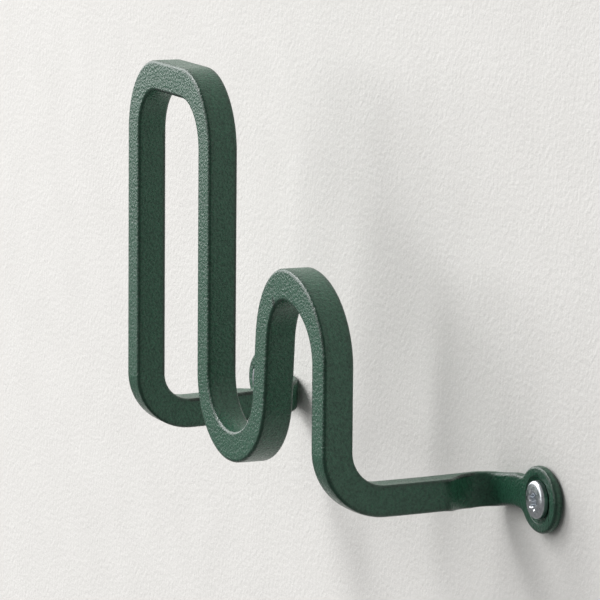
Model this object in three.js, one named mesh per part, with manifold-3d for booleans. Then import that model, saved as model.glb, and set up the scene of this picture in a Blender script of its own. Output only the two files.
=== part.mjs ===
// Wall hook bent from one square bar: a tall loop, a U and a low loop in front,
// two arms back to the wall, and an eye with a screw and a wall plug at each end.
// Millimetres. X runs along the wall, +Y into the wall, +Z up.
// The origin lies on the wall plane, midway between the two screw axes.
import * as THREE from 'three';
import { mergeVertices } from 'three/addons/utils/BufferGeometryUtils.js';
import Module from 'manifold-3d';

const wasm = await Module();
wasm.setup();

// Square bar
const BAR = 8;
const BAR_EDGE = 0.6;            // chamfer along the bar's four edges
const SWEEP_STEPS = 150;

// Front shape of the bar's centreline, in the plane of the four legs
const LEG_SPAN = 127.3;          // first leg to fourth leg
const FRONT_TO_WALL = 50.3;      // front face of the bar to the wall
const ARM_LEVEL = -2.5;          // height of the arms where they leave the legs
const LOOP_WIDTH = 51.1;         // first leg to second leg
const LOOP_TOP = 91;
const LOOP_CORNER = 16.2;
const U_LEVEL = 17.7;            // height at which the U starts to curve
const U_LEFT = 18;
const U_RIGHT = 20.1;
const U_DEPTH = 16.2;
const LOW_LEVEL = 30.8;          // height at which the low loop starts to curve
const LOW_LEFT = 15.4;
const LOW_HEIGHT = 17.6;
const LEG_SLANT = THREE.MathUtils.degToRad(84.5);   // third leg, measured from the wall's X

// Arms, which climb a little towards the wall. Each has its own bend at the foot of the leg
// and bend into the strap, and spreads to its own height where it is first flattened.
const LEFT = { side: -1, bend: 11.2, armRise: 2.4, strapBend: 11, taperHeight: 8.3, strapRise: 0.1 };
const RIGHT = { side: 1, bend: 12.8, armRise: 0.8, strapBend: 8, taperHeight: 9, strapRise: 1.7 };
const RISE_CURVE = 1.5;
const ARM_END = -22;             // where the swept bar stops
const ARM_OVERLAP = 3;
const ARM_INSET = 0.1;           // how far the strap's start is sunk into the bar

// Flattened strap and eye at each end
const STRAP = 2.6;               // thickness of the flattened metal
const TAPER_LENGTH = 9.5;        // from the full bar to the start of the strap's bend
const TAPER_LEAD = 3;            // how slowly the taper sets in
const TAPER_TAIL = 5;            // how slowly it ends
const STRAP_HEIGHT = 8.3;
const STRAP_RISE_RUN = 13;       // sideways from the arm's middle
const EYE_OFFSET = 24.6;         // eye centre, sideways from the arm's middle
const EYE_HALF_WIDTH = 9.9;
const EYE_HALF_HEIGHT = 8.2;
const EYE_EDGE = 0.5;
const RECESS_RADIUS = 5.8;
const RECESS_STRETCH = 1.12;     // the recess is oval like the eye
const RECESS_SLOPE = 0.7;        // how much narrower its floor is than its mouth
const RECESS_DEPTH = 1.2;
const HOLE_RADIUS = 2.7;
const RELIEF_RADIUS = 5;         // shallow relief behind the eye for the plug's collar
const RELIEF_DEPTH = 0.4;

// Screw
const HEAD_RADIUS = 4.7;
const HEAD_HEIGHT = 2.2;
const HEAD_CROWN = 0.2;
const HEAD_SHOULDER = 0.9;
const SHANK_RADIUS = 1.6;
const THREAD_RADIUS = 2.15;
const THREAD_PITCH = 2;
const SCREW_LENGTH = 38;
const SCREW_TIP = 5;
const LOBES = 6;
const LOBE_CIRCLE = 1.55;
const LOBE_RADIUS = 0.7;
const LOBE_DEPTH = 1.7;

// Wall plug
const PLUG_RADIUS = 4;
const PLUG_BORE = 2.5;
const PLUG_LENGTH = 40;
const PLUG_TAIL = 6;
const PLUG_RIB = 0.35;
const PLUG_RIBS = 6;
const PLUG_COLLAR = 4.6;
const COLLAR_THICK = 0.7;
const SLOT_WIDTH = 1.2;
const SLOT_START = 9;

const GAP = 0.3;
const ROUND_STEPS = 40;          // sides of the eyes
const SCREW_STEPS = 18;          // sides of the screws and plugs
const LOBE_STEPS = 12;
const SHOULDER_STEPS = 4;
const BEND_STEPS = 10;
const PAST = 1;                  // how far a cutter runs past the face that it cuts
const WELD = 1e-4;               // points nearer than this are one point

const LEG_X = LEG_SPAN / 2;
const EYE_X = LEG_X + EYE_OFFSET;
const HALF = BAR / 2;
const BAR_Y = -FRONT_TO_WALL + HALF;

const green = new THREE.MeshStandardMaterial({ color: 0x3c5a4b, roughness: 0.55, metalness: 0.1 });
const zinc = new THREE.MeshStandardMaterial({ color: 0xb9bdc2, roughness: 0.3, metalness: 1 });
const nylon = new THREE.MeshStandardMaterial({ color: 0x9a9c9b, roughness: 0.6, metalness: 0 });

// ---- solids -------------------------------------------------------------------------

function solid(geometry) {
  const shell = geometry.index ? geometry.toNonIndexed() : geometry.clone();
  shell.deleteAttribute('normal');
  shell.deleteAttribute('uv');
  const merged = mergeVertices(shell, WELD);
  return new wasm.Manifold(new wasm.Mesh({
    numProp: 3,
    vertProperties: new Float32Array(merged.attributes.position.array),
    triVerts: new Uint32Array(merged.index.array),
  }));
}

function toGeometry(manifold) {
  const mesh = manifold.getMesh();
  const geometry = new THREE.BufferGeometry();
  geometry.setAttribute('position', new THREE.BufferAttribute(mesh.vertProperties, 3));
  geometry.setIndex(new THREE.BufferAttribute(mesh.triVerts, 1));
  geometry.computeVertexNormals();
  return geometry;
}

function named(name, geometry, material) {
  const mesh = new THREE.Mesh(geometry, material);
  mesh.name = name;
  return mesh;
}

function lathe(points, sides) {
  return new THREE.LatheGeometry(points.map(([r, y]) => new THREE.Vector2(r, y)), sides);
}

// ---- centreline of the bar ----------------------------------------------------------

// A flat curve stood up in space by a function from its two coordinates to a point.
class PlacedCurve extends THREE.Curve {
  constructor(flat, place) {
    super();
    this.flat = flat;
    this.place = place;
  }

  getPoint(t) {
    const p = this.flat.getPoint(t);
    return this.place(p.x, p.y);
  }
}

// Where an ellipse's edge runs parallel to the slanted third leg.
function slantAngle(halfWidth, height) {
  return Math.atan2(height * Math.cos(LEG_SLANT), -halfWidth * Math.sin(LEG_SLANT));
}

function frontOutline() {
  const leg2 = -LEG_X + LOOP_WIDTH;
  const corner = LOOP_TOP - LOOP_CORNER;
  const uX = leg2 + U_LEFT;
  const leave = slantAngle(U_RIGHT, U_DEPTH) + Math.PI;
  const join = slantAngle(LOW_LEFT, LOW_HEIGHT);
  const start = new THREE.Vector2(uX + U_RIGHT * Math.cos(leave), U_LEVEL + U_DEPTH * Math.sin(leave));
  const endZ = LOW_LEVEL + LOW_HEIGHT * Math.sin(join);
  const endX = start.x + (endZ - start.y) / Math.tan(LEG_SLANT);
  const lowX = endX - LOW_LEFT * Math.cos(join);
  const lowRight = LEG_X - lowX;

  const outline = new THREE.Path();
  outline.moveTo(-LEG_X, ARM_LEVEL + LEFT.bend);
  outline.lineTo(-LEG_X, corner);
  outline.absarc(-LEG_X + LOOP_CORNER, corner, LOOP_CORNER, Math.PI, Math.PI / 2, true);
  outline.lineTo(leg2 - LOOP_CORNER, LOOP_TOP);
  outline.absarc(leg2 - LOOP_CORNER, corner, LOOP_CORNER, Math.PI / 2, 0, true);
  outline.lineTo(leg2, U_LEVEL);
  outline.absellipse(uX, U_LEVEL, U_LEFT, U_DEPTH, Math.PI, 1.5 * Math.PI, false);
  outline.absellipse(uX, U_LEVEL, U_RIGHT, U_DEPTH, 1.5 * Math.PI, leave, false);
  outline.lineTo(endX, endZ);
  outline.absellipse(lowX, LOW_LEVEL, LOW_LEFT, LOW_HEIGHT, join, Math.PI / 2, true);
  outline.absellipse(lowX, LOW_LEVEL, lowRight, LOW_HEIGHT, Math.PI / 2, 0, true);
  outline.lineTo(LEG_X, ARM_LEVEL + RIGHT.bend);
  return outline;
}

// Side view of one arm and its bend, from the wall end to the foot of the leg.
function armOutline(arm) {
  const outline = new THREE.Path();
  outline.moveTo(ARM_END, ARM_LEVEL);
  outline.lineTo(BAR_Y + arm.bend, ARM_LEVEL);
  outline.absarc(BAR_Y + arm.bend, ARM_LEVEL + arm.bend, arm.bend, 1.5 * Math.PI, Math.PI, true);
  return outline;
}

function reversed(path) {
  const back = new THREE.Curve();
  back.getPoint = (t) => path.getPoint(1 - t);
  return back;
}

function centreline() {
  const line = new THREE.CurvePath();
  line.add(new PlacedCurve(armOutline(LEFT), (y, z) => new THREE.Vector3(-LEG_X, y, z)));
  line.add(new PlacedCurve(frontOutline(), (x, z) => new THREE.Vector3(x, BAR_Y, z)));
  line.add(new PlacedCurve(reversed(armOutline(RIGHT)), (y, z) => new THREE.Vector3(LEG_X, y, z)));
  return line;
}

// Square with cut corners, drawn around the centreline.
function barSection() {
  const flat = HALF - BAR_EDGE;
  const section = new THREE.Shape();
  section.moveTo(HALF, -flat);
  section.lineTo(HALF, flat);
  section.lineTo(flat, HALF);
  section.lineTo(-flat, HALF);
  section.lineTo(-HALF, flat);
  section.lineTo(-HALF, -flat);
  section.lineTo(-flat, -HALF);
  section.lineTo(flat, -HALF);
  section.closePath();
  return section;
}

function bentBar() {
  return new THREE.ExtrudeGeometry(barSection(), {
    steps: SWEEP_STEPS,
    extrudePath: centreline(),
    bevelEnabled: false,
  });
}

// ---- strap and eye ------------------------------------------------------------------

function share(value, start, run) {
  return THREE.MathUtils.clamp((value - start) / run, 0, 1);
}

// Lifts every point of an arm by how near it is to the wall and to the eye.
function climb(geometry, arm) {
  const points = geometry.attributes.position;
  const armStart = BAR_Y + arm.bend;
  for (let i = 0; i < points.count; i += 1) {
    const outward = arm.side * points.getX(i) - LEG_X;
    const along = share(points.getY(i), armStart, -armStart);
    const sideways = THREE.MathUtils.smoothstep(outward, 0, STRAP_RISE_RUN);
    const onThisArm = Math.sign(points.getX(i)) === arm.side ? 1 : 0;
    const rise = arm.armRise * along ** RISE_CURVE + arm.strapRise * sideways;
    points.setZ(i, points.getZ(i) + onThisArm * rise);
  }
  return geometry;
}

// Seen from above: the end of the arm thins from outside and bends outward along the wall.
function strapOutline(arm) {
  const at = (outward) => arm.side * (LEG_X + outward);
  const radius = arm.strapBend;
  const bendX = radius - HALF;
  const thin = STRAP - HALF;
  const taperStart = -radius - TAPER_LENGTH;
  const turn = arm.side > 0;
  const quarter = Math.PI / 2;
  const armSide = turn ? Math.PI : 0;
  const outline = new THREE.Shape();
  outline.moveTo(at(-HALF), ARM_END - ARM_OVERLAP);
  outline.lineTo(at(HALF), ARM_END - ARM_OVERLAP);
  outline.lineTo(at(HALF), taperStart);
  outline.bezierCurveTo(
    at(HALF), taperStart + TAPER_LEAD, at(thin), -radius - TAPER_TAIL, at(thin), -radius,
  );
  outline.absarc(at(bendX), -radius, radius - STRAP, armSide, quarter, turn);
  outline.lineTo(at(EYE_OFFSET - RECESS_RADIUS), -STRAP);
  outline.lineTo(at(EYE_OFFSET - RECESS_RADIUS), 0);
  outline.lineTo(at(bendX), 0);
  outline.absarc(at(bendX), -radius, radius, quarter, armSide, !turn);
  outline.closePath();
  return outline;
}

// Gives the strap its height along the way: it spreads in the taper, downwards, and then
// settles in the bend.
function spread(geometry, arm) {
  const points = geometry.attributes.position;
  const thin = STRAP - HALF;
  const start = BAR - 2 * ARM_INSET;
  for (let i = 0; i < points.count; i += 1) {
    const y = points.getY(i);
    const outward = arm.side * points.getX(i) - LEG_X;
    const taper = share(y, -arm.strapBend - TAPER_LENGTH, TAPER_LENGTH);
    const settled = y > -arm.strapBend ? share(outward, thin, arm.strapBend - HALF - thin) : 0;
    const grown = start + taper * (arm.taperHeight - start);
    const height = grown + settled * (STRAP_HEIGHT - arm.taperHeight);
    const drop = ((arm.taperHeight - BAR) / 2) * (taper - settled);
    points.setZ(i, (points.getZ(i) * height) / STRAP_HEIGHT - drop + ARM_LEVEL);
  }
  return geometry;
}

function strap(arm) {
  const body = new THREE.ExtrudeGeometry(strapOutline(arm), {
    depth: STRAP_HEIGHT - 2 * EYE_EDGE,
    bevelThickness: EYE_EDGE,
    bevelSize: EYE_EDGE,
    bevelOffset: -EYE_EDGE,
    bevelSegments: 1,
    curveSegments: BEND_STEPS,
  });
  body.translate(0, 0, EYE_EDGE - STRAP_HEIGHT / 2);
  return climb(spread(body, arm), arm);
}

function eyeDisc(arm) {
  const outline = new THREE.Shape();
  outline.absellipse(0, 0, EYE_HALF_WIDTH, EYE_HALF_HEIGHT, 0, 2 * Math.PI, false);
  const disc = new THREE.ExtrudeGeometry(outline, {
    depth: STRAP - EYE_EDGE,
    bevelThickness: EYE_EDGE,
    bevelSize: EYE_EDGE,
    bevelOffset: -EYE_EDGE,
    bevelSegments: 2,
    curveSegments: ROUND_STEPS / 2,
  });
  disc.rotateX(Math.PI / 2);
  disc.translate(arm.side * EYE_X, 0, 0);
  return disc;
}

// Oval recess in front, with a floor for the screw's head.
function recessCutter(arm) {
  const floor = -STRAP + RECESS_DEPTH;
  const cutter = lathe([
    [0, -STRAP - PAST],
    [RECESS_RADIUS, -STRAP - PAST],
    [RECESS_RADIUS, -STRAP],
    [RECESS_RADIUS - RECESS_SLOPE, floor],
    [0, floor],
  ], ROUND_STEPS);
  cutter.scale(RECESS_STRETCH, 1, 1);
  cutter.translate(arm.side * EYE_X, 0, 0);
  return cutter;
}

// Clearance hole and rear relief in one turned cutter.
function holeCutter(arm) {
  const cutter = lathe([
    [0, -STRAP],
    [HOLE_RADIUS, -STRAP],
    [HOLE_RADIUS, -RELIEF_DEPTH],
    [RELIEF_RADIUS, -RELIEF_DEPTH],
    [RELIEF_RADIUS, PAST],
    [0, PAST],
  ], ROUND_STEPS);
  cutter.translate(arm.side * EYE_X, 0, 0);
  return cutter;
}

// Flat wall plane, which trims what the disc's rear bevel leaves behind it.
function wallCutter() {
  const width = 2 * (EYE_X + EYE_HALF_WIDTH + PAST);
  const block = new THREE.BoxGeometry(width, BAR, width);
  block.translate(0, HALF, 0);
  return block;
}

function hookBar() {
  let hook = solid(climb(climb(bentBar(), LEFT), RIGHT));
  for (const arm of [LEFT, RIGHT]) {
    hook = hook.add(solid(strap(arm))).add(solid(eyeDisc(arm)));
  }
  hook = hook.subtract(solid(wallCutter()));
  for (const arm of [LEFT, RIGHT]) {
    hook = hook.subtract(solid(recessCutter(arm))).subtract(solid(holeCutter(arm)));
  }
  return named('hook_bar', toGeometry(hook), green);
}

// ---- screws and plugs ---------------------------------------------------------------

// Pan head, ridged shank and point, turned around the screw's axis.
function screwBody() {
  const seat = -STRAP + RECESS_DEPTH - GAP;
  const shoulderY = seat - HEAD_HEIGHT + HEAD_CROWN;
  const flank = THREAD_PITCH / 4;
  const points = [[0, seat - HEAD_HEIGHT]];
  for (let i = 0; i <= SHOULDER_STEPS; i += 1) {
    const angle = (i / SHOULDER_STEPS) * (Math.PI / 2);
    points.push([
      HEAD_RADIUS - HEAD_SHOULDER * (1 - Math.sin(angle)),
      shoulderY + HEAD_SHOULDER * (1 - Math.cos(angle)),
    ]);
  }
  points.push([HEAD_RADIUS, seat]);
  points.push([SHANK_RADIUS, seat]);
  const threads = Math.floor((SCREW_LENGTH - SCREW_TIP) / THREAD_PITCH) - 1;
  for (let i = 1; i <= threads; i += 1) {
    const crest = seat + (i + 0.5) * THREAD_PITCH;
    points.push([SHANK_RADIUS, crest - flank]);
    points.push([THREAD_RADIUS, crest]);
    points.push([SHANK_RADIUS, crest + flank]);
  }
  points.push([SHANK_RADIUS, seat + SCREW_LENGTH - SCREW_TIP]);
  points.push([0, seat + SCREW_LENGTH]);
  return solid(lathe(points, SCREW_STEPS));
}

// Six-lobe recess in the head: a round core with round lobes on it.
function driveRecess() {
  const depth = LOBE_DEPTH + PAST;
  const middle = -STRAP + RECESS_DEPTH - GAP - HEAD_HEIGHT - PAST + depth / 2;
  let recess = solid(new THREE.CylinderGeometry(LOBE_CIRCLE, LOBE_CIRCLE, depth, 2 * LOBE_STEPS));
  for (let i = 0; i < LOBES; i += 1) {
    const angle = (2 * Math.PI * i) / LOBES;
    const lobe = new THREE.CylinderGeometry(LOBE_RADIUS, LOBE_RADIUS, depth, LOBE_STEPS);
    lobe.translate(LOBE_CIRCLE * Math.cos(angle), 0, LOBE_CIRCLE * Math.sin(angle));
    recess = recess.add(solid(lobe));
  }
  return recess.translate([0, middle, 0]);
}

function screw(name, arm) {
  const mesh = named(name, toGeometry(screwBody().subtract(driveRecess())), zinc);
  mesh.position.x = arm.side * EYE_X;
  return mesh;
}

// Split sleeve with a collar, ribs outside and an open bore for the screw.
function plugBody() {
  const start = -RELIEF_DEPTH + GAP;
  const ribStep = (PLUG_LENGTH - PLUG_TAIL - SLOT_START) / PLUG_RIBS;
  const points = [
    [PLUG_BORE, start],
    [PLUG_COLLAR, start],
    [PLUG_COLLAR, start + COLLAR_THICK],
    [PLUG_RADIUS, start + COLLAR_THICK],
  ];
  for (let i = 0; i < PLUG_RIBS; i += 1) {
    const y = SLOT_START + i * ribStep;
    points.push([PLUG_RADIUS, y]);
    points.push([PLUG_RADIUS + PLUG_RIB, y]);
    points.push([PLUG_RADIUS, y + ribStep]);
  }
  points.push([PLUG_BORE + PLUG_RIB, start + PLUG_LENGTH]);
  points.push([PLUG_BORE, start + PLUG_LENGTH]);
  points.push([PLUG_BORE, start]);
  return solid(lathe(points, SCREW_STEPS));
}

function plugSlot() {
  const length = PLUG_LENGTH - PLUG_TAIL - SLOT_START;
  const slot = new THREE.BoxGeometry(2 * (PLUG_COLLAR + PAST), length, SLOT_WIDTH);
  slot.translate(0, SLOT_START + length / 2, 0);
  return solid(slot);
}

function wallPlug(name, arm) {
  const mesh = named(name, toGeometry(plugBody().subtract(plugSlot())), nylon);
  mesh.position.x = arm.side * EYE_X;
  return mesh;
}

const hook = new THREE.Group();
hook.add(hookBar());
hook.add(screw('screw_left', LEFT));
hook.add(screw('screw_right', RIGHT));
hook.add(wallPlug('wall_plug_left', LEFT));
hook.add(wallPlug('wall_plug_right', RIGHT));

export default hook;
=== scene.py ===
"""Looks of a wall hook bent from one square bar, with two screws and two wall plugs.

Metres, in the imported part's frame: X runs along the wall, +Y into the wall, +Z up.
The origin lies on the wall plane, midway between the two screw axes.
"""
import math
from collections import namedtuple

import bmesh
import bpy
import numpy as np
from mathutils import Euler, Matrix, Vector


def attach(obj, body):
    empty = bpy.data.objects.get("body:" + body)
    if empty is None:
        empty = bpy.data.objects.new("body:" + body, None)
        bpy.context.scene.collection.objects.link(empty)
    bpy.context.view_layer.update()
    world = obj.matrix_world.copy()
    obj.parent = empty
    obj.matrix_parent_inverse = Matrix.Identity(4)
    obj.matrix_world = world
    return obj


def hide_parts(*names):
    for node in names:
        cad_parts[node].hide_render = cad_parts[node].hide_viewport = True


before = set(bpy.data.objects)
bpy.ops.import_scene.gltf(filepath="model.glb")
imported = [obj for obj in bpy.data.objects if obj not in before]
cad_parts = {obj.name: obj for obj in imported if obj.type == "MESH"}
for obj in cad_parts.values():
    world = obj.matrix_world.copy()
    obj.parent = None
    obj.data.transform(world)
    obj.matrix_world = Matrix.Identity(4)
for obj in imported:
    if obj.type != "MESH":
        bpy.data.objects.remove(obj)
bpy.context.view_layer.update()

MM = 0.001

# Square bar and the shape of its centreline, as in the CAD
BAR = 8 * MM
LEG_SPAN = 127.3 * MM
FRONT_TO_WALL = 50.3 * MM
ARM_LEVEL = -2.5 * MM
LOOP_WIDTH = 51.1 * MM
LOOP_TOP = 91 * MM
LOOP_CORNER = 16.2 * MM
U_LEVEL = 17.7 * MM
U_LEFT = 18 * MM
U_RIGHT = 20.1 * MM
U_DEPTH = 16.2 * MM
LOW_LEVEL = 30.8 * MM
LOW_LEFT = 15.4 * MM
LOW_HEIGHT = 17.6 * MM
LEG_SLANT = math.radians(84.5)

# The two ends differ a little in how they are bent and flattened
Arm = namedtuple("Arm", "side bend arm_rise strap_bend taper_height strap_rise")
LEFT = Arm(side=-1, bend=11.2 * MM, arm_rise=2.4 * MM, strap_bend=11 * MM, taper_height=8.3 * MM,
           strap_rise=0.1 * MM)
RIGHT = Arm(side=1, bend=12.8 * MM, arm_rise=0.8 * MM, strap_bend=8 * MM, taper_height=9 * MM,
            strap_rise=1.7 * MM)
RISE_CURVE = 1.5

# Flattened strap and eye at each end
STRAP = 2.6 * MM
TAPER_LENGTH = 9.5 * MM
TAPER_LEAD = 3 * MM
TAPER_TAIL = 5 * MM
STRAP_HEIGHT = 8.3 * MM
STRAP_RISE_RUN = 13 * MM
EYE_OFFSET = 24.6 * MM
EYE_HALF_WIDTH = 9.9 * MM
EYE_HALF_HEIGHT = 8.2 * MM
NECK_FILLET = 3 * MM
RECESS_RADIUS = 5.8 * MM
RECESS_STRETCH = 1.12
RECESS_SLOPE = 0.7 * MM
RECESS_DEPTH = 1.2 * MM
RECESS_LIP = 0.3 * MM
HOLE_RADIUS = 2.7 * MM
RELIEF_RADIUS = 5 * MM
RELIEF_DEPTH = 0.4 * MM

# Screw
HEAD_RADIUS = 4.7 * MM
HEAD_HEIGHT = 2.2 * MM
HEAD_CROWN = 0.2 * MM
HEAD_SHOULDER = 0.9 * MM
SHANK_RADIUS = 1.6 * MM
THREAD_RADIUS = 2.15 * MM
THREAD_PITCH = 2 * MM
SCREW_LENGTH = 38 * MM
SCREW_TIP = 5 * MM
THREAD_SPARE_TURNS = 3           # turns added so that the skin reaches past both ends
THREAD_CREST = 0.25              # half width of the thread's crest, as a share of the pitch
TIP_CURVE = 0.7                  # how bluntly the tip closes
DRIVE_LOBES = 6
DRIVE_MIDDLE = 2.05 * MM         # mean radius of the drive
DRIVE_WAVE = 0.38 * MM           # how far its lobes stand out from the mean
DRIVE_DEPTH = 1.7 * MM
DRIVE_BEVEL = 0.4 * MM
LEFT_TURNED = 0.5                # how far each screw happens to be turned, in radians
RIGHT_TURNED = 0.2

# Wall plug
PLUG_RADIUS = 4 * MM
PLUG_BORE = 2.5 * MM
PLUG_LENGTH = 40 * MM
PLUG_TAIL = 6 * MM
PLUG_RIB = 0.35 * MM
PLUG_RIBS = 6
PLUG_COLLAR = 4.6 * MM
COLLAR_THICK = 0.7 * MM
SLOT_WIDTH = 1.2 * MM
SLOT_START = 9 * MM
SLOT_REACH = 12 * MM             # how far the slot's cutter reaches to either side

GAP = 0.3 * MM
PAST = 1 * MM                    # how far a cutter runs past the face that it cuts

# Fineness of the meshes
EDGE_RADIUS = 0.85 * MM          # rounding of the bar's edges under the coat
EYE_EDGE = 0.8 * MM
EYE_BACK_EDGE = 1.2 * MM
STATION_STEP = 0.7 * MM
FLAT_STEPS = 6
EDGE_STEPS = 5
FILLET_STEPS = 6
TURN_STEPS = 96
PLUG_STEPS = 64
THREAD_TURN_STEPS = 48
THREAD_PITCH_STEPS = 10
HALVINGS = 40                    # steps of the search for where the neck's fillet meets the eye
WELD = 0.001 * MM
HOOK_CREASE = 35                 # degrees above which an edge stays sharp
FASTENER_CREASE = 30

LEG_X = LEG_SPAN / 2
EYE_X = LEG_X + EYE_OFFSET
HALF = BAR / 2
BAR_Y = -FRONT_TO_WALL + HALF
SCREW_SEAT = -STRAP + RECESS_DEPTH - GAP

X_AXIS = np.array((1.0, 0.0, 0.0))
Y_AXIS = np.array((0.0, 1.0, 0.0))
Z_AXIS = np.array((0.0, 0.0, 1.0))


# ---- meshes ---------------------------------------------------------------------------

def mesh_object(name, vertices, faces):
    """A new object whose doubled vertices are merged and whose faces point out."""
    mesh = bpy.data.meshes.new(name)
    mesh.from_pydata([tuple(v) for v in vertices], [], faces)
    work = bmesh.new()
    work.from_mesh(mesh)
    bmesh.ops.remove_doubles(work, verts=work.verts, dist=WELD)
    bmesh.ops.dissolve_degenerate(work, edges=work.edges, dist=WELD)
    bmesh.ops.recalc_face_normals(work, faces=work.faces)
    work.to_mesh(mesh)
    work.free()
    made = bpy.data.objects.new(name, mesh)
    bpy.context.scene.collection.objects.link(made)
    return made


def grid_faces(rows, columns):
    """Quads between neighbouring rings of points, each closed from its last column to its first."""
    faces = []
    for i in range(rows - 1):
        for j in range(columns):
            k = (j + 1) % columns
            faces.append((i * columns + j, i * columns + k, (i + 1) * columns + k, (i + 1) * columns + j))
    return faces


def around(steps):
    """Evenly spaced angles of one full turn."""
    return np.linspace(0, 2 * np.pi, steps, endpoint=False)


def ring(radius, y, angles):
    """Points round the Y axis; the radius is one number, or one for each angle."""
    return np.stack((radius * np.cos(angles), np.full(len(angles), y), radius * np.sin(angles)), -1)


def turned_points(profile, steps):
    """A profile of (radius, y) pairs turned around the Y axis, ring after ring."""
    return np.concatenate([ring(radius, y, around(steps)) for radius, y in profile])


def lathe(name, profile, steps=TURN_STEPS):
    return mesh_object(name, turned_points(profile, steps), grid_faces(len(profile), steps))


def cut(piece, cutters):
    """Takes the cutters away from the piece and deletes them."""
    for cutter in cutters:
        modifier = piece.modifiers.new("cut", "BOOLEAN")
        modifier.object = cutter
        modifier.operation = "DIFFERENCE"
        modifier.solver = "EXACT"
    bpy.context.view_layer.update()
    evaluated = piece.evaluated_get(bpy.context.evaluated_depsgraph_get())
    piece.data = bpy.data.meshes.new_from_object(evaluated)
    piece.modifiers.clear()
    for cutter in cutters:
        bpy.data.objects.remove(cutter)


def shade(piece, sharp_degrees):
    """Smooth shading that keeps flat faces flat and leaves real corners sharp."""
    piece.data.shade_smooth()
    piece.data.set_sharp_from_angle(angle=math.radians(sharp_degrees))
    weighted = piece.modifiers.new("flat faces", "WEIGHTED_NORMAL")
    weighted.keep_sharp = True
    weighted.weight = 100


# ---- centreline of the bar --------------------------------------------------------------

def line(start, end):
    start, end = np.array(start), np.array(end)
    count = max(2, int(np.linalg.norm(end - start) / STATION_STEP) + 1)
    return start + np.linspace(0, 1, count)[:, None] * (end - start)


def ellipse(centre, half_width, half_height, start, end):
    count = max(3, int(abs(end - start) * max(half_width, half_height) / STATION_STEP) + 1)
    angles = np.linspace(start, end, count)
    return np.array(centre) + np.stack((half_width * np.cos(angles), half_height * np.sin(angles)), -1)


def joined(stretches):
    """Stretches that meet end to end, as one line without doubled points."""
    return np.concatenate([stretches[0]] + [s[1:] for s in stretches[1:]])


def directions(points):
    """Unit direction of travel at each point of a line."""
    steps = np.diff(points, axis=0)
    lengths = np.linalg.norm(steps, axis=1, keepdims=True)
    units = steps / lengths
    inner = units[:-1] / lengths[:-1] + units[1:] / lengths[1:]
    travel = np.concatenate((units[:1], inner, units[-1:]))
    return travel / np.linalg.norm(travel, axis=1, keepdims=True)


def slant_angle(half_width, height):
    """Where an ellipse's edge runs parallel to the slanted third leg."""
    return math.atan2(height * math.cos(LEG_SLANT), -half_width * math.sin(LEG_SLANT))


def front_line():
    """The four legs and three bends, as (x, z) points from the first leg to the last."""
    leg2 = -LEG_X + LOOP_WIDTH
    corner = LOOP_TOP - LOOP_CORNER
    u_x = leg2 + U_LEFT
    leave = slant_angle(U_RIGHT, U_DEPTH) + math.pi
    join = slant_angle(LOW_LEFT, LOW_HEIGHT)
    start = (u_x + U_RIGHT * math.cos(leave), U_LEVEL + U_DEPTH * math.sin(leave))
    end_z = LOW_LEVEL + LOW_HEIGHT * math.sin(join)
    end = (start[0] + (end_z - start[1]) / math.tan(LEG_SLANT), end_z)
    low_x = end[0] - LOW_LEFT * math.cos(join)
    quarter = math.pi / 2
    return joined([
        line((-LEG_X, ARM_LEVEL + LEFT.bend), (-LEG_X, corner)),
        ellipse((-LEG_X + LOOP_CORNER, corner), LOOP_CORNER, LOOP_CORNER, math.pi, quarter),
        line((-LEG_X + LOOP_CORNER, LOOP_TOP), (leg2 - LOOP_CORNER, LOOP_TOP)),
        ellipse((leg2 - LOOP_CORNER, corner), LOOP_CORNER, LOOP_CORNER, quarter, 0),
        line((leg2, corner), (leg2, U_LEVEL)),
        ellipse((u_x, U_LEVEL), U_LEFT, U_DEPTH, math.pi, 3 * quarter),
        ellipse((u_x, U_LEVEL), U_RIGHT, U_DEPTH, 3 * quarter, leave),
        line(start, end),
        ellipse((low_x, LOW_LEVEL), LOW_LEFT, LOW_HEIGHT, join, quarter),
        ellipse((low_x, LOW_LEVEL), LEG_X - low_x, LOW_HEIGHT, quarter, 0),
        line((LEG_X, LOW_LEVEL), (LEG_X, ARM_LEVEL + RIGHT.bend)),
    ])


# ---- sections along the bar -------------------------------------------------------------

# centre: middle of the section. face: direction across its thickness. up: across its height.
# ahead and lean: where the outline's edge turns away from the path, as around the eye, lean is
# the angle of its normal from up towards ahead, the direction of the eye's tip.
Section = namedtuple("Section", "centre face up half_thick half_high ahead lean")


def square_section(centre, face, up):
    return Section(centre, face, up, HALF, HALF, np.zeros(3), 0.0)


def front_sections():
    points = front_line()
    places = np.stack((points[:, 0], np.full(len(points), BAR_Y), points[:, 1]), -1)
    return [square_section(p, np.cross(d, Y_AXIS), Y_AXIS) for p, d in zip(places, directions(places))]


def foot_sections(arm):
    """The bend from the foot of the leg into the arm, ending at the start of the arm."""
    points = ellipse((BAR_Y + arm.bend, ARM_LEVEL + arm.bend), arm.bend, arm.bend, math.pi, 1.5 * math.pi)
    places = np.stack((np.full(len(points), arm.side * LEG_X), points[:, 0], points[:, 1]), -1)
    side = arm.side * X_AXIS
    return [square_section(p, side, np.cross(X_AXIS, d)) for p, d in zip(places, directions(places))]


def bezier(a, b, c, d, share):
    rest = 1 - share
    return rest ** 3 * a + 3 * rest ** 2 * share * b + 3 * rest * share ** 2 * c + share ** 3 * d


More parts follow.
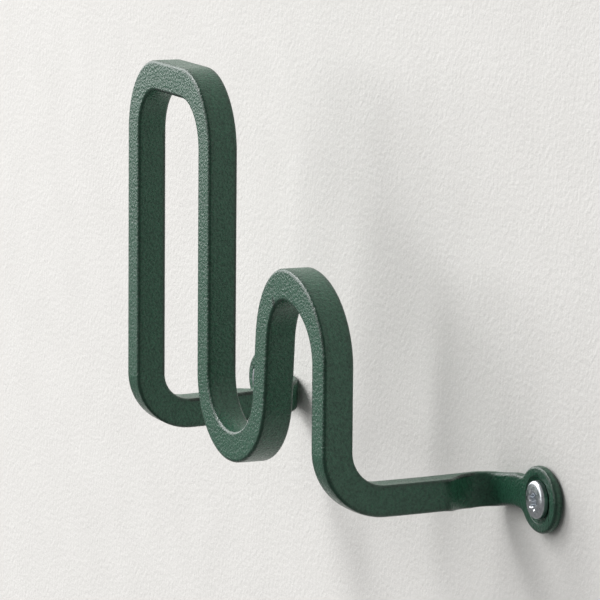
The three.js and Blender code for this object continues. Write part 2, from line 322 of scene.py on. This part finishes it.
def arm_plan(arm):
    """The arm seen from above, with the height of its section and how far its middle drops.

    Returns matching (outward, y) points on the wall side and the outer side, heights and drops."""
    radius = arm.strap_bend
    taper_start = -radius - TAPER_LENGTH
    straight = line((0.0, BAR_Y + arm.bend), (0.0, taper_start))
    thin = STRAP - HALF
    share = np.linspace(0, 1, int(TAPER_LENGTH / STATION_STEP) + 1)
    taper_x = bezier(HALF, HALF, thin, thin, share)
    taper_y = bezier(taper_start, taper_start + TAPER_LEAD, -radius - TAPER_TAIL, -radius, share)
    round_out = (radius - HALF, -radius)
    turn = ellipse(round_out, radius, radius, math.pi, math.pi / 2)
    inner_turn = round_out + (turn - round_out) * (radius - STRAP) / radius
    wall_side = joined([straight + (-HALF, 0), np.stack((np.full(len(share), -HALF), taper_y), -1), turn])
    outer_side = joined([straight + (HALF, 0), np.stack((taper_x, taper_y), -1), inner_turn])
    knots = np.cumsum([0, len(straight) - 1, len(share) - 1, len(turn) - 1])
    rows = np.arange(len(wall_side))
    heights = np.interp(rows, knots, (BAR, BAR, arm.taper_height, STRAP_HEIGHT))
    drops = np.interp(rows, knots, (0, 0, (arm.taper_height - BAR) / 2, 0))
    return wall_side, outer_side, heights, drops


def on_eye(angle):
    """A point of the eye's outline, from the eye's middle."""
    return np.array((EYE_HALF_WIDTH * math.cos(angle), EYE_HALF_HEIGHT * math.sin(angle)))


def eye_normal(angle):
    raw = np.array((EYE_HALF_HEIGHT * math.cos(angle), EYE_HALF_WIDTH * math.sin(angle)))
    return raw / np.linalg.norm(raw)


def fillet_touch(neck):
    """The angle at which the neck's fillet touches the eye's outline."""
    low, high = math.pi / 2, math.pi
    for _ in range(HALVINGS):
        middle = (low + high) / 2
        height = (on_eye(middle) + NECK_FILLET * eye_normal(middle))[1]
        low, high = (middle, high) if height > neck + NECK_FILLET else (low, middle)
    return (low + high) / 2


def eye_outline(arm):
    """Upper outline from the neck to the eye's tip: (outward, height, lean) of each point."""
    neck = STRAP_HEIGHT / 2
    touch = fillet_touch(neck)
    fillet_centre = on_eye(touch) + NECK_FILLET * eye_normal(touch)
    towards_eye = math.atan2(*(-eye_normal(touch))[::-1])
    rows = []
    for x, z in line((arm.strap_bend - HALF - EYE_OFFSET, neck), (fillet_centre[0], neck))[1:]:
        rows.append((x, z, 0.0))
    for angle in np.linspace(-math.pi / 2, towards_eye, FILLET_STEPS)[1:]:
        inward = np.array((math.cos(angle), math.sin(angle)))
        x, z = fillet_centre + NECK_FILLET * inward
        rows.append((x, z, math.atan2(-inward[0], -inward[1])))
    count = int(touch * EYE_HALF_WIDTH / (STATION_STEP / 2))
    for angle in np.linspace(touch, 0, count, endpoint=False)[1:]:
        x, z = on_eye(angle)
        across, upward = eye_normal(angle)
        rows.append((x, z, math.atan2(across, upward)))
    return [(EYE_OFFSET + x, z, lean) for x, z, lean in rows]


def arm_sections(arm):
    """From the start of the arm, through the flattened strap, to the tip of the eye."""
    def place(outward, y, drop=0.0):
        return np.array((arm.side * (LEG_X + outward), y, ARM_LEVEL - drop))

    sections = []
    for near, far, high, drop in zip(*arm_plan(arm)):
        inside, outside = place(*near, drop), place(*far, drop)
        across = outside - inside
        thick = np.linalg.norm(across)
        sections.append(Section((inside + outside) / 2, across / thick, Z_AXIS, thick / 2, high / 2,
                                np.zeros(3), 0.0))
    for outward, height, lean in eye_outline(arm):
        sections.append(Section(place(outward, -STRAP / 2), -Y_AXIS, Z_AXIS, STRAP / 2, height,
                                arm.side * X_AXIS, lean))
    return sections


def ring_pattern():
    """Points around a section with rounded edges, as shares of its thickness and height.

    Each row is (thickness share, share of the edge radius across the thickness, height share,
    share of the edge radius across the height)."""
    flat = np.linspace(-1, 1, FLAT_STEPS, endpoint=False)
    angle = np.linspace(0, math.pi / 2, EDGE_STEPS, endpoint=False)
    rows = [(1, 1, f, 0) for f in flat]
    rows += [(1, math.cos(a), 1, math.sin(a)) for a in angle]
    rows += [(-f, 0, 1, 1) for f in flat]
    rows += [(-1, -math.sin(a), 1, math.cos(a)) for a in angle]
    rows += [(-1, -1, -f, 0) for f in flat]
    rows += [(-1, -math.cos(a), -1, math.sin(a)) for a in angle]
    rows += [(f, 0, -1, 1) for f in flat]
    rows += [(1, math.sin(a), -1, math.cos(a)) for a in angle]
    return np.array(rows, float)


def ring_points(section, pattern):
    thick_share, thick_edge, high_share, high_edge = pattern.T
    front_edge, back_edge = (EYE_EDGE, EYE_BACK_EDGE) if section.lean != 0 else (EDGE_RADIUS, EDGE_RADIUS)
    radius = np.where(thick_share > 0, front_edge, back_edge)
    inset = (1 - high_edge) * radius
    across = thick_share * (section.half_thick - radius) + thick_edge * radius
    height = high_share * (section.half_high - inset * math.cos(section.lean))
    along = -inset * math.sin(section.lean)
    return (section.centre + across[:, None] * section.face + height[:, None] * section.up
            + along[:, None] * section.ahead)


def cap_faces(first, columns):
    """Closes a tip: joins the upper edge of its last ring to the lower edge, pair by pair."""
    edge = columns // 2 - FLAT_STEPS
    upper = [first + FLAT_STEPS + i for i in range(edge + 1)]
    lower = [first + (columns - i) % columns for i in range(edge + 1)]
    front = [first + i for i in range(FLAT_STEPS + 1)]
    back = [first + FLAT_STEPS + edge + i for i in range(FLAT_STEPS + 1)]
    faces = [front + [upper[1], lower[1]]]
    faces += [(upper[i], upper[i + 1], lower[i + 1], lower[i]) for i in range(1, edge - 1)]
    faces.append([upper[-2]] + back + [lower[-2]])
    return faces


def smooth_share(value, start, run):
    share = np.clip((value - start) / run, 0, 1)
    return share * share * (3 - 2 * share)


def climb(points, arm):
    """Lifts the points of an arm by how near they are to the wall and to the eye."""
    arm_start = BAR_Y + arm.bend
    along = np.clip((points[:, 1] - arm_start) / -arm_start, 0, 1)
    sideways = smooth_share(arm.side * points[:, 0] - LEG_X, 0, STRAP_RISE_RUN)
    on_arm = np.sign(points[:, 0]) == arm.side
    points[:, 2] += on_arm * (arm.arm_rise * along ** RISE_CURVE + arm.strap_rise * sideways)


def eye_cutters(arm):
    """Clearance hole and rear relief, and the oval recess with its rounded lip."""
    floor = -STRAP + RECESS_DEPTH
    bowl = [(0, -STRAP - PAST), (RECESS_RADIUS + RECESS_LIP, -STRAP - PAST)]
    for angle in np.linspace(-math.pi / 2, -math.pi, EDGE_STEPS + 1):
        bowl.append((RECESS_RADIUS + RECESS_LIP * (1 + math.cos(angle)),
                     -STRAP + RECESS_LIP * (1 + math.sin(angle))))
    bowl += [(RECESS_RADIUS - RECESS_SLOPE, floor), (0, floor)]
    bore = [
        (0, -STRAP),
        (HOLE_RADIUS, -STRAP),
        (HOLE_RADIUS, -RELIEF_DEPTH),
        (RELIEF_RADIUS, -RELIEF_DEPTH),
        (RELIEF_RADIUS, PAST),
        (0, PAST),
    ]
    recess = lathe("recess_cutter", bowl)
    recess.data.transform(Matrix.Scale(RECESS_STRETCH, 4, X_AXIS))
    hole = lathe("hole_cutter", bore)
    for cutter in (recess, hole):
        cutter.data.transform(Matrix.Translation((arm.side * EYE_X, 0, 0)))
    return [recess, hole]


def hook_bar():
    pattern = ring_pattern()
    sections = (
        list(reversed(arm_sections(LEFT)))[:-1]
        + list(reversed(foot_sections(LEFT)))[:-1]
        + front_sections()[:-1]
        + foot_sections(RIGHT)[:-1]
        + arm_sections(RIGHT)
    )
    points = np.concatenate([ring_points(s, pattern) for s in sections])
    for arm in (LEFT, RIGHT):
        climb(points, arm)
    columns = len(pattern)
    faces = grid_faces(len(sections), columns)
    faces += cap_faces(0, columns)
    faces += cap_faces((len(sections) - 1) * columns, columns)
    hook = mesh_object("hook_bar_coated", points, faces)
    cut(hook, eye_cutters(LEFT) + eye_cutters(RIGHT))
    shade(hook, HOOK_CREASE)
    return hook


# ---- screws -------------------------------------------------------------------------------

def head_profile():
    """Pan head from the middle of its top to the shank, as (radius, y)."""
    top = SCREW_SEAT - HEAD_HEIGHT
    flat = HEAD_RADIUS - HEAD_SHOULDER
    profile = [(flat * share, top + HEAD_CROWN * share ** 2) for share in np.linspace(0, 1, FLAT_STEPS)]
    for angle in np.linspace(0, math.pi / 2, 2 * EDGE_STEPS)[1:]:
        profile.append((flat + HEAD_SHOULDER * math.sin(angle),
                        top + HEAD_CROWN + HEAD_SHOULDER * (1 - math.cos(angle))))
    profile += [(HEAD_RADIUS, SCREW_SEAT - GAP), (HEAD_RADIUS - GAP, SCREW_SEAT), (SHANK_RADIUS, SCREW_SEAT)]
    return profile


def thread_points(steps):
    """One helical skin from under the head to the point; rows run round, columns across a pitch."""
    rows = []
    tip_y = SCREW_SEAT + SCREW_LENGTH
    for k in range(steps + 1):
        angle = 2 * math.pi * k / THREAD_TURN_STEPS
        for p in range(THREAD_PITCH_STEPS):
            share = p / THREAD_PITCH_STEPS
            y = SCREW_SEAT + THREAD_PITCH * (k / THREAD_TURN_STEPS + share - 1)
            y = min(max(y, SCREW_SEAT), tip_y)
            to_tip = min(1.0, (tip_y - y) / SCREW_TIP)
            fade = min(1.0, max(0.0, (y - SCREW_SEAT) / THREAD_PITCH - 1)) * to_tip
            crest = max(0.0, 1 - abs(share - 0.5) / THREAD_CREST)
            radius = SHANK_RADIUS * to_tip ** TIP_CURVE + (THREAD_RADIUS - SHANK_RADIUS) * crest * fade
            rows.append((radius * math.cos(angle), y, radius * math.sin(angle)))
    return rows


def thread_faces(steps, first):
    """Quads of the helical skin, whose points start at the given index; each turn meets the next."""
    faces = []
    for k in range(steps - THREAD_TURN_STEPS):
        for p in range(THREAD_PITCH_STEPS):
            here = first + k * THREAD_PITCH_STEPS + p
            onward = here + THREAD_PITCH_STEPS
            if p + 1 < THREAD_PITCH_STEPS:
                faces.append((here, onward, onward + 1, here + 1))
            else:
                next_turn = first + (k + THREAD_TURN_STEPS) * THREAD_PITCH_STEPS
                faces.append((here, onward, next_turn + THREAD_PITCH_STEPS, next_turn))
    return faces


def drive_cutter():
    """Lobed recess with a bevelled mouth and slightly tapered walls."""
    angles = around(TURN_STEPS)
    outline = DRIVE_MIDDLE + DRIVE_WAVE * np.cos(DRIVE_LOBES * angles)
    top = SCREW_SEAT - HEAD_HEIGHT
    levels = [
        (-PAST, DRIVE_BEVEL),
        (0.0, DRIVE_BEVEL),
        (DRIVE_BEVEL, 0.0),
        (DRIVE_DEPTH, -DRIVE_BEVEL / 2),
    ]
    rings = [ring(0.0, top - PAST, angles)]
    rings += [ring(outline + wider, top + depth, angles) for depth, wider in levels]
    rings.append(ring(0.0, top + DRIVE_DEPTH, angles))
    return mesh_object("drive_cutter", np.concatenate(rings), grid_faces(len(rings), TURN_STEPS))


def screw(name, node, arm, turned):
    profile = head_profile()
    head = turned_points(profile, THREAD_TURN_STEPS)
    steps = (int(SCREW_LENGTH / THREAD_PITCH) + THREAD_SPARE_TURNS) * THREAD_TURN_STEPS
    faces = grid_faces(len(profile), THREAD_TURN_STEPS) + thread_faces(steps, len(head))
    piece = mesh_object(name, np.concatenate((head, np.array(thread_points(steps)))), faces)
    cut(piece, [drive_cutter()])
    piece.data.transform(Matrix.Translation((arm.side * EYE_X, 0, 0)) @ Matrix.Rotation(turned, 4, "Y"))
    shade(piece, FASTENER_CREASE)
    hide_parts(node)
    return piece


# ---- wall plugs ---------------------------------------------------------------------------

def slot_cutter():
    """A flat bar through the plug that leaves its two halves free to spread."""
    corners = [(x, y, z) for x in (-SLOT_REACH, SLOT_REACH) for y in (SLOT_START, PLUG_LENGTH - PLUG_TAIL)
               for z in (-SLOT_WIDTH / 2, SLOT_WIDTH / 2)]
    faces = [(0, 1, 3, 2), (4, 5, 7, 6), (0, 1, 5, 4), (2, 3, 7, 6), (0, 2, 6, 4), (1, 3, 7, 5)]
    return mesh_object("slot_cutter", corners, faces)


def wall_plug(name, node, arm):
    """A ribbed, slotted plug whose collar sits in the relief at the back of the eye."""
    start = -RELIEF_DEPTH + GAP
    rib_step = (PLUG_LENGTH - PLUG_TAIL - SLOT_START) / PLUG_RIBS
    profile = [(PLUG_BORE, start), (PLUG_COLLAR, start), (PLUG_COLLAR, start + COLLAR_THICK),
               (PLUG_RADIUS, start + COLLAR_THICK)]
    for i in range(PLUG_RIBS):
        y = SLOT_START + i * rib_step
        profile += [(PLUG_RADIUS, y), (PLUG_RADIUS + PLUG_RIB, y), (PLUG_RADIUS, y + rib_step)]
    end = start + PLUG_LENGTH
    profile += [(PLUG_BORE + PLUG_RIB, end), (PLUG_BORE, end), (PLUG_BORE, start)]
    piece = lathe(name, profile, PLUG_STEPS)
    cut(piece, [slot_cutter()])
    piece.data.transform(Matrix.Translation((arm.side * EYE_X, 0, 0)))
    shade(piece, FASTENER_CREASE)
    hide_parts(node)
    return piece


# ---- materials ----------------------------------------------------------------------------

PEEL_PERIOD = 0.7 * MM
PEEL_DEPTH = 0.2 * MM
# The coat's own green; in the peel's pits it is darker as painted shade, on the lumps lighter
COAT_PIT_SHADED = (0.013, 0.064, 0.037, 1)
COAT_LUMP = (0.034, 0.128, 0.076, 1)
COAT_ROUGH = (0.38, 0.25)        # in the pits and on the lumps
# Share of the base colour left on convex edges: painted shade for the dark shading along the bar's edges
EDGE_PAINTED_SHADE = 0.3
EDGE_FROM = 0.505                # pointiness at which the painted shade on an edge begins
EDGE_FULL = 0.54                 # pointiness at which the painted edge shade is full
GRAIN_PERIOD = PEEL_PERIOD / 3
GRAIN_DEPTH = PEEL_DEPTH / 8
ZINC_DULL = (0.62, 0.66, 0.70, 1)
ZINC_BRIGHT = (0.80, 0.82, 0.84, 1)
ZINC_ROUGH = (0.24, 0.42)
ZINC_CLOUD = 1.2 * MM
SCUFF_PERIOD = 0.25 * MM
SCUFF_DEPTH = 0.015 * MM
NYLON_DARK = (0.30, 0.31, 0.31, 1)
NYLON_LIGHT = (0.36, 0.37, 0.37, 1)
NYLON_ROUGH = (0.45, 0.6)
NYLON_FLOW = 5 * MM
NYLON_GRAIN = 0.3 * MM
NYLON_GRAIN_DEPTH = 0.01 * MM
PAINT_LOW = (0.79, 0.775, 0.75, 1)
PAINT_HIGH = (0.82, 0.805, 0.78, 1)
PAINT_PATCH = 20 * MM
PLASTER_PERIOD = 1.6 * MM
PLASTER_DEPTH = 0.25 * MM
WALL_SKIN = 0.1 * MM             # how far the wall lies behind the backs of the eyes
CLEAR_REACH = 1 * MM             # rays shorter than this pass through the wall


def new_material(name):
    """A material with its shader and the object's own coordinates."""
    material = bpy.data.materials.new(name)
    material.use_nodes = True
    nodes = material.node_tree.nodes
    shader = nodes["Principled BSDF"]
    place = nodes.new("ShaderNodeTexCoord").outputs["Object"]
    return material, shader, place


def noise(material, place, period, detail, roughness=0.5):
    node = material.node_tree.nodes.new("ShaderNodeTexNoise")
    node.inputs["Scale"].default_value = 1 / period
    node.inputs["Detail"].default_value = detail
    node.inputs["Roughness"].default_value = roughness
    material.node_tree.links.new(place, node.inputs["Vector"])
    return node.outputs["Fac"]


def ramp(material, value, low, high, from_low=0.3, from_high=0.7):
    """Spreads a noise value between two colours or two grey levels."""
    node = material.node_tree.nodes.new("ShaderNodeValToRGB")
    node.color_ramp.elements[0].position = from_low
    node.color_ramp.elements[1].position = from_high
    node.color_ramp.elements[0].color = low
    node.color_ramp.elements[1].color = high
    material.node_tree.links.new(value, node.inputs["Fac"])
    return node.outputs["Color"]


def grey(level):
    return (level, level, level, 1)


def rough(material, value, levels):
    low, high = levels
    return ramp(material, value, grey(low), grey(high))


def bump(material, height, distance, before=None):
    node = material.node_tree.nodes.new("ShaderNodeBump")
    node.inputs["Distance"].default_value = distance
    material.node_tree.links.new(height, node.inputs["Height"])
    if before is not None:
        material.node_tree.links.new(before, node.inputs["Normal"])
    return node.outputs["Normal"]


def powder_coat():
    """Dark green powder coat with a fine orange peel, and painted shade in its pits and on sharp edges."""
    material, shader, place = new_material("green_powder_coat")
    nodes, links = material.node_tree.nodes, material.node_tree.links
    peel = noise(material, place, PEEL_PERIOD, detail=2)
    # The coat's green, with painted shade in the pits of the peel
    green = ramp(material, peel, COAT_PIT_SHADED, COAT_LUMP)
    # Painted shade: the base colour is darkened on convex edges, found by pointiness
    convex = nodes.new("ShaderNodeNewGeometry").outputs["Pointiness"]
    painted_edge_shade = ramp(material, convex, grey(1), grey(EDGE_PAINTED_SHADE), EDGE_FROM, EDGE_FULL)
    # Multiplies the painted edge shade into the coat's green
    thin = nodes.new("ShaderNodeVectorMath")
    thin.operation = "MULTIPLY"
    links.new(green, thin.inputs[0])
    links.new(painted_edge_shade, thin.inputs[1])
    links.new(thin.outputs["Vector"], shader.inputs["Base Color"])
    links.new(rough(material, peel, COAT_ROUGH), shader.inputs["Roughness"])
    coarse = bump(material, peel, PEEL_DEPTH)
    grain = noise(material, place, GRAIN_PERIOD, detail=1)
    links.new(bump(material, grain, GRAIN_DEPTH, coarse), shader.inputs["Normal"])
    return material


def zinc():
    material, shader, place = new_material("zinc_steel")
    links = material.node_tree.links
    cloud = noise(material, place, ZINC_CLOUD, detail=4)
    links.new(ramp(material, cloud, ZINC_DULL, ZINC_BRIGHT), shader.inputs["Base Color"])
    links.new(rough(material, cloud, ZINC_ROUGH), shader.inputs["Roughness"])
    scuffs = noise(material, place, SCUFF_PERIOD, detail=5, roughness=0.7)
    links.new(bump(material, scuffs, SCUFF_DEPTH), shader.inputs["Normal"])
    shader.inputs["Metallic"].default_value = 1
    return material


def nylon():
    material, shader, place = new_material("grey_nylon")
    links = material.node_tree.links
    flow = noise(material, place, NYLON_FLOW, detail=4)
    links.new(ramp(material, flow, NYLON_DARK, NYLON_LIGHT), shader.inputs["Base Color"])
    links.new(rough(material, flow, NYLON_ROUGH), shader.inputs["Roughness"])
    grain = noise(material, place, NYLON_GRAIN, detail=3)
    links.new(bump(material, grain, NYLON_GRAIN_DEPTH), shader.inputs["Normal"])
    shader.inputs["Subsurface Weight"].default_value = 0.1
    return material


def plaster():
    """Pale wall paint that shows only from the room side, so that the back of the hook can be seen.

    Very short rays pass through it too, so that the backs of the eyes are lit when seen from behind."""
    material, shader, place = new_material("pale_wall")
    tree = material.node_tree
    broad = noise(material, place, PAINT_PATCH, detail=5)
    tree.links.new(ramp(material, broad, PAINT_LOW, PAINT_HIGH), shader.inputs["Base Color"])
    shader.inputs["Roughness"].default_value = 0.9
    shader.inputs["Specular IOR Level"].default_value = 0.2
    roller = noise(material, place, PLASTER_PERIOD, detail=3, roughness=0.6)
    tree.links.new(bump(material, roller, PLASTER_DEPTH), shader.inputs["Normal"])
    side = tree.nodes.new("ShaderNodeNewGeometry")
    path = tree.nodes.new("ShaderNodeLightPath")
    close = tree.nodes.new("ShaderNodeMath")
    close.operation = "LESS_THAN"
    close.inputs[1].default_value = CLEAR_REACH
    tree.links.new(path.outputs["Ray Length"], close.inputs[0])
    seen_through = tree.nodes.new("ShaderNodeMath")
    seen_through.operation = "MAXIMUM"
    tree.links.new(side.outputs["Backfacing"], seen_through.inputs[0])
    tree.links.new(close.outputs["Value"], seen_through.inputs[1])
    clear = tree.nodes.new("ShaderNodeBsdfTransparent")
    mix = tree.nodes.new("ShaderNodeMixShader")
    tree.links.new(seen_through.outputs["Value"], mix.inputs["Fac"])
    tree.links.new(shader.outputs["BSDF"], mix.inputs[1])
    tree.links.new(clear.outputs["BSDF"], mix.inputs[2])
    tree.links.new(mix.outputs["Shader"], tree.nodes["Material Output"].inputs["Surface"])
    return material


# ---- stage, light and camera --------------------------------------------------------------

WALL_REACH = 2.5
ROOM_LIGHT = 0.2
LIGHT_TARGET = (0, 0, 0.03)
LEFT_PLACE = (-3.6, -1.56, 1.36)
FRONT_LEFT_PLACE = (-1.0, -3.3, 1.3)
UPPER_LEFT_PLACE = (-2.3, -1.9, 2.65)
CAMERA_AZIMUTH = math.radians(67.18)
CAMERA_ELEVATION = math.radians(9.1)
CAMERA_ROLL = math.radians(0.47)
CAMERA_DISTANCE = 1.12
CAMERA_TARGET = Vector((0.0100, -0.0325, 0.0389))
CAMERA_LENS = 263.8              # for a sensor 36 mm wide
CAMERA_SENSOR = 36
CAMERA_NEAR = 0.05


def wall():
    low, high = -WALL_REACH, WALL_REACH
    corners = [(x, WALL_SKIN, z) for x, z in ((low, low), (high, low), (high, high), (low, high))]
    mesh = bpy.data.meshes.new("wall")
    mesh.from_pydata(corners, [], [(0, 1, 2, 3)])
    made = bpy.data.objects.new("wall", mesh)
    bpy.context.scene.collection.objects.link(made)
    made.data.materials.append(plaster())


def softbox(name, place, width, height, watts):
    """A soft rectangular panel that faces the hook."""
    data = bpy.data.lights.new(name, "AREA")
    data.shape = "RECTANGLE"
    data.size = width
    data.size_y = height
    data.energy = watts
    made = bpy.data.objects.new(name, data)
    made.location = place
    made.rotation_euler = (Vector(LIGHT_TARGET) - Vector(place)).to_track_quat("-Z", "Y").to_euler()
    bpy.context.scene.collection.objects.link(made)


def room_light():
    world = bpy.data.worlds.new("room")
    world.use_nodes = True
    background = world.node_tree.nodes["Background"]
    background.inputs["Color"].default_value = grey(1)
    background.inputs["Strength"].default_value = ROOM_LIGHT
    bpy.context.scene.world = world


def camera():
    level_part = math.cos(CAMERA_ELEVATION)
    back = Vector((math.sin(CAMERA_AZIMUTH) * level_part, -math.cos(CAMERA_AZIMUTH) * level_part,
                   math.sin(CAMERA_ELEVATION)))
    data = bpy.data.cameras.new("camera")
    data.sensor_width = CAMERA_SENSOR
    data.lens = CAMERA_LENS
    data.clip_start = CAMERA_NEAR
    made = bpy.data.objects.new("camera", data)
    made.location = CAMERA_TARGET + CAMERA_DISTANCE * back
    made.rotation_mode = "QUATERNION"
    level = (-back).to_track_quat("-Z", "Y")
    made.rotation_quaternion = level @ Euler((0, 0, CAMERA_ROLL)).to_quaternion()
    bpy.context.scene.collection.objects.link(made)
    bpy.context.scene.camera = made


camera()
wall()
room_light()
softbox("left_panel", LEFT_PLACE, width=4.3, height=3.4, watts=128)
softbox("front_left_softbox", FRONT_LEFT_PLACE, width=3.1, height=3.1, watts=54)
softbox("upper_left_softbox", UPPER_LEFT_PLACE, width=1.45, height=1.45, watts=92)
bpy.context.scene.view_settings.view_transform = "Standard"

coat = powder_coat()
hook = hook_bar()
hook.data.materials.append(coat)
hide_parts("hook_bar")
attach(hook, "root")

metal = zinc()
plastic = nylon()
for label, arm, turned in (("left", LEFT, LEFT_TURNED), ("right", RIGHT, RIGHT_TURNED)):
    fastener = screw(f"screw_{label}_zinc", f"screw_{label}", arm, turned)
    fastener.data.materials.append(metal)
    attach(fastener, "root")
    plug = wall_plug(f"wall_plug_{label}_nylon", f"wall_plug_{label}", arm)
    plug.data.materials.append(plastic)
    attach(plug, "root")
